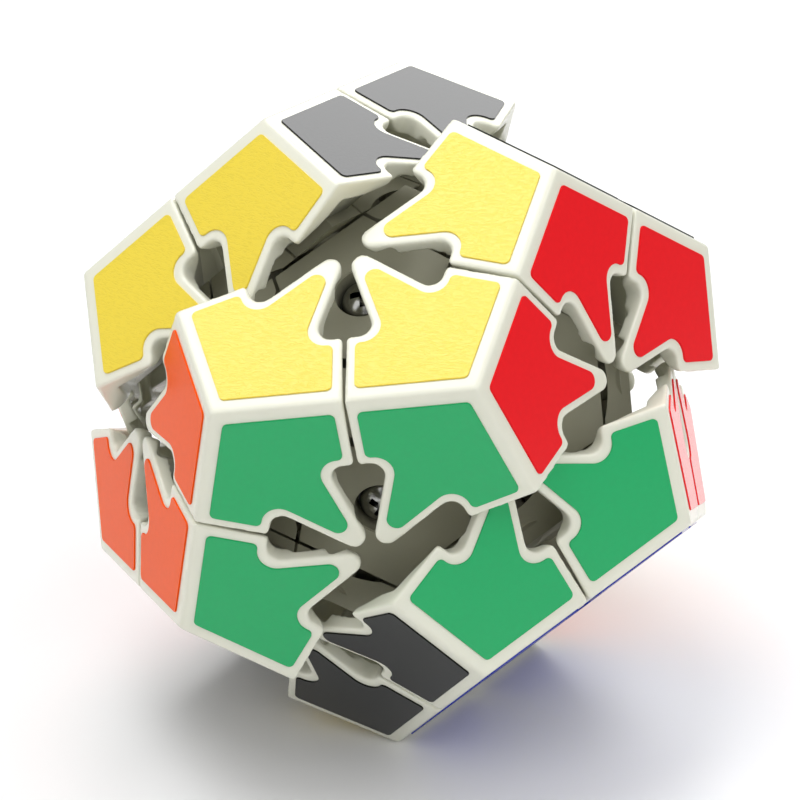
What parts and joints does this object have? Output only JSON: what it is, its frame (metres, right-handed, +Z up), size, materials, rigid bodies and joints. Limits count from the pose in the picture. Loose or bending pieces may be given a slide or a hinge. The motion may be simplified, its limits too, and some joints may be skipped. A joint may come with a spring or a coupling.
{
  "type": "twisty dodecahedron puzzle",
  "caption": "Hand-held dodecahedral twisty puzzle: hollow stickered corner shells with pointed petal windows on a sprung core, its opposite end layers part-turned.",
  "frame": {"origin": "centre of the puzzle's core, where all twelve face axes meet; it is also the centroid", "axes": "+Z is up as the part-turned puzzle rests on three points; the north face's axis leans 45 degrees from +Z towards +Y; +X runs across, square to that axis"},
  "size_m": [0.0812, 0.0861, 0.0799],
  "materials": {
    "shells": "ivory, moulded, glossy",
    "hub_plates": "ivory, moulded, semi-gloss",
    "inner_pieces": "ivory, moulded, semi-gloss",
    "core": "moulded, matte",
    "screws": "bright nickel plate",
    "springs": "drawn wire",
    "washers": "stamped",
    "sticker_blue": "gloss vinyl",
    "sticker_yellow": "embossed vinyl with a fine leather grain",
    "sticker_black": "gloss vinyl",
    "sticker_green": "gloss vinyl",
    "sticker_red": "gloss vinyl",
    "sticker_orange": "gloss vinyl"
  },
  "bodies": {
    "middle_band": {"core": "core", "corner_feet_middle": "inner_pieces", "hub_screws": "screws", "hub_springs": "springs", "hub_washers": "washers", "inner_edges_middle": "inner_pieces", "lower_1_hub_plate": "hub_plates", "lower_2_hub_plate": "hub_plates", "lower_3_hub_plate": "hub_plates", "lower_4_hub_plate": "hub_plates", "lower_5_hub_plate": "hub_plates", "lower_corner_1": "shells", "lower_corner_2": "shells", "lower_corner_3": "shells", "lower_corner_4": "shells", "lower_corner_5": "shells", "stickers_black_middle": "sticker_black", "stickers_green_middle": "sticker_green", "stickers_orange_middle": "sticker_orange", "stickers_red_middle": "sticker_red", "stickers_yellow_middle": "sticker_yellow", "upper_1_hub_plate": "hub_plates", "upper_2_hub_plate": "hub_plates", "upper_3_hub_plate": "hub_plates", "upper_4_hub_plate": "hub_plates", "upper_5_hub_plate": "hub_plates", "upper_corner_1": "shells", "upper_corner_2": "shells", "upper_corner_3": "shells", "upper_corner_4": "shells", "upper_corner_5": "shells"},
    "north_layer": {"corner_feet_north": "inner_pieces", "inner_edges_north": "inner_pieces", "north_corner_1": "shells", "north_corner_2": "shells", "north_corner_3": "shells", "north_corner_4": "shells", "north_corner_5": "shells", "north_hub_plate": "hub_plates", "stickers_black_north": "sticker_black", "stickers_blue_north": "sticker_blue", "stickers_green_north": "sticker_green", "stickers_orange_north": "sticker_orange", "stickers_red_north": "sticker_red", "stickers_yellow_north": "sticker_yellow"},
    "south_layer": {"corner_feet_south": "inner_pieces", "inner_edges_south": "inner_pieces", "south_corner_1": "shells", "south_corner_2": "shells", "south_corner_3": "shells", "south_corner_4": "shells", "south_corner_5": "shells", "south_hub_plate": "hub_plates", "stickers_black_south": "sticker_black", "stickers_blue_south": "sticker_blue", "stickers_green_south": "sticker_green", "stickers_orange_south": "sticker_orange", "stickers_red_south": "sticker_red", "stickers_yellow_south": "sticker_yellow"}
  },
  "joints": [
    {"name": "north_layer_turn", "type": "hinge", "parent": "middle_band", "child": "north_layer", "pos_m": [0, 0, 0], "axis": [0, 0.7071, 0.7071], "continuous": true},
    {"name": "south_layer_turn", "type": "hinge", "parent": "middle_band", "child": "south_layer", "pos_m": [0, 0, 0], "axis": [0, -0.7071, -0.7071], "continuous": true}
  ]
}
